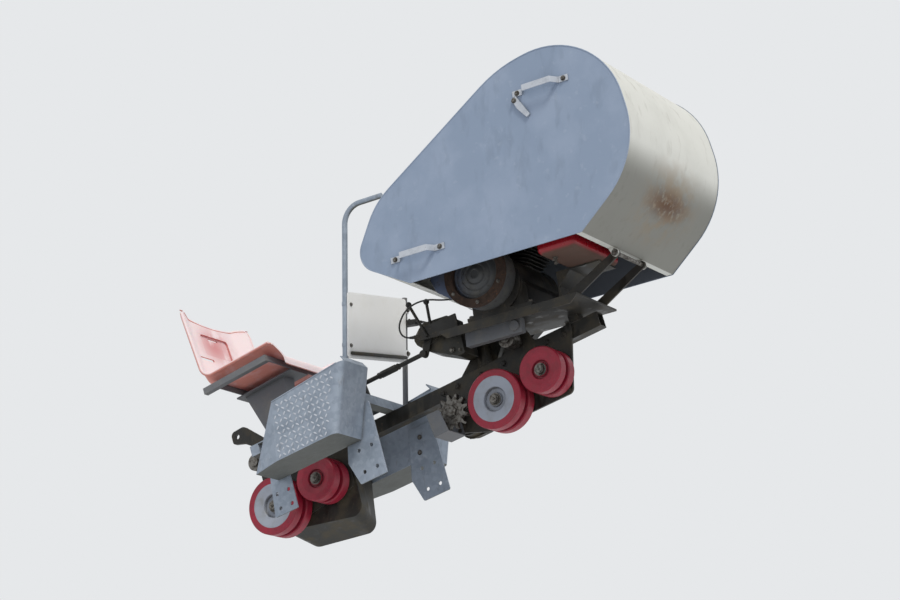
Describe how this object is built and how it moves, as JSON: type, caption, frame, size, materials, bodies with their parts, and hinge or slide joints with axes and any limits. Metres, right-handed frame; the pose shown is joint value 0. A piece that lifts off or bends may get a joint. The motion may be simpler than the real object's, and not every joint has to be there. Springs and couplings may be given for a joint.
{
  "type": "rack monorail traction unit",
  "caption": "Rack monorail traction unit for steep vineyards, with driver's seat, foot trays, hinged engine hood and twin wheels that grip a square rail.",
  "frame": {"origin": "On the centre line of the rail that the machine grips, at the middle of the machine's length.", "axes": "+X along the rail and uphill, +Y across it to the side of the drive housings, +Z square to the rail, away from the wheels that run under it."},
  "size_m": [2.224, 0.84, 1.2585],
  "materials": {
    "hood_side_paint": "weathered satin grey-blue paint on sheet",
    "hood_wrap_paint": "weathered pale paint on sheet with a rust stain",
    "galvanised": "dull galvanised sheet and tube",
    "chassis_paint": "dark paint under oil and dust",
    "housing_iron": "oily cast housing",
    "frame_grey": "worn grey paint",
    "wheel_tyre": "red polyurethane, satin",
    "hub_paint": "light grey enamel",
    "bright_steel": "machined steel with grease",
    "seat_plastic": "sun-faded moulded plastic",
    "shield_paint": "white painted sheet",
    "engine_dark": "dark engine paint and grime",
    "shroud_alloy": "dull cast alloy, oil-stained",
    "rusty_iron": "rusted",
    "black_rubber": "black plastic and rubber, dusty",
    "tank_paint": "red gloss paint"
  },
  "bodies": {
    "frame": {"main_beam": "chassis_paint", "side_plate_uphill": "chassis_paint", "side_plate_downhill": "chassis_paint", "gear_case": "housing_iron", "brake_housing": "housing_iron", "cross_tubes": "galvanised", "deck_plate": "galvanised", "hitch": "chassis_paint", "foot_tray_near": "galvanised", "foot_tray_far": "galvanised", "hanger_plates": "galvanised", "seat_shell": "seat_plastic", "seat_frame": "frame_grey", "seat_pedestal": "frame_grey", "grab_tube": "galvanised", "shield_post": "frame_grey", "leg_shield": "shield_paint", "engine_bed": "chassis_paint", "bed_uprights": "chassis_paint", "bed_bar": "frame_grey", "engine_block": "engine_dark", "fan_shroud": "shroud_alloy", "fan_ring": "rusty_iron", "fuel_tank": "tank_paint", "tank_bracket": "chassis_paint", "hinge_arms": "chassis_paint", "hinge_pin": "bright_steel", "control_levers": "engine_dark", "pull_rod": "engine_dark", "pinion_guard": "frame_grey", "clutch_housing": "housing_iron", "shield_rod": "chassis_paint", "post_clamp": "black_rubber", "belt_cover": "chassis_paint", "muffler": "rusty_iron", "air_cleaner": "engine_dark", "clutch_cable": "black_rubber", "brake_cable": "black_rubber", "throttle_cable": "black_rubber"},
    "hood": {"hood_side_near": "hood_side_paint", "hood_side_far": "hood_side_paint", "hood_wrap": "hood_wrap_paint", "hood_handles": "galvanised", "hood_latch": "galvanised"},
    "pinion": {"drive_pinion": "bright_steel"},
    "big_wheels_uphill": {"big_axle_uphill": "bright_steel", "big_treads_uphill": "wheel_tyre", "big_hubs_uphill": "hub_paint"},
    "small_wheels_uphill": {"small_axle_uphill": "bright_steel", "small_wheels_uphill": "wheel_tyre"},
    "roller_uphill": {"top_roller_uphill": "bright_steel"},
    "big_wheels_downhill": {"big_axle_downhill": "bright_steel", "big_treads_downhill": "wheel_tyre", "big_hubs_downhill": "hub_paint"},
    "small_wheels_downhill": {"small_axle_downhill": "bright_steel", "small_wheels_downhill": "wheel_tyre"},
    "roller_downhill": {"top_roller_downhill": "bright_steel"}
  },
  "joints": [
    {"name": "hood_hinge", "type": "hinge", "parent": "frame", "child": "hood", "pos_m": [0.78733, 0, 0.14542], "axis": [0, 1, 0], "range_deg": [0, 45]},
    {"name": "pinion_spin", "type": "hinge", "parent": "frame", "child": "pinion", "pos_m": [-0.11, 0, -0.10247], "axis": [0, 1, 0], "continuous": true},
    {"name": "big_wheels_uphill_spin", "type": "hinge", "parent": "frame", "child": "big_wheels_uphill", "pos_m": [0.1, 0, -0.1485], "axis": [0, 1, 0], "continuous": true},
    {"name": "small_wheels_uphill_spin", "type": "hinge", "parent": "frame", "child": "small_wheels_uphill", "pos_m": [0.322, 0, -0.1215], "axis": [0, 1, 0], "continuous": true},
    {"name": "roller_uphill_spin", "type": "hinge", "parent": "frame", "child": "roller_uphill", "pos_m": [0.21, 0, 0.0655], "axis": [0, 1, 0], "continuous": true},
    {"name": "big_wheels_downhill_spin", "type": "hinge", "parent": "frame", "child": "big_wheels_downhill", "pos_m": [-0.975, 0, -0.1485], "axis": [0, 1, 0], "continuous": true},
    {"name": "small_wheels_downhill_spin", "type": "hinge", "parent": "frame", "child": "small_wheels_downhill", "pos_m": [-0.753, 0, -0.1215], "axis": [0, 1, 0], "continuous": true},
    {"name": "roller_downhill_spin", "type": "hinge", "parent": "frame", "child": "roller_downhill", "pos_m": [-1.02, 0, 0.0655], "axis": [0, 1, 0], "continuous": true}
  ]
}
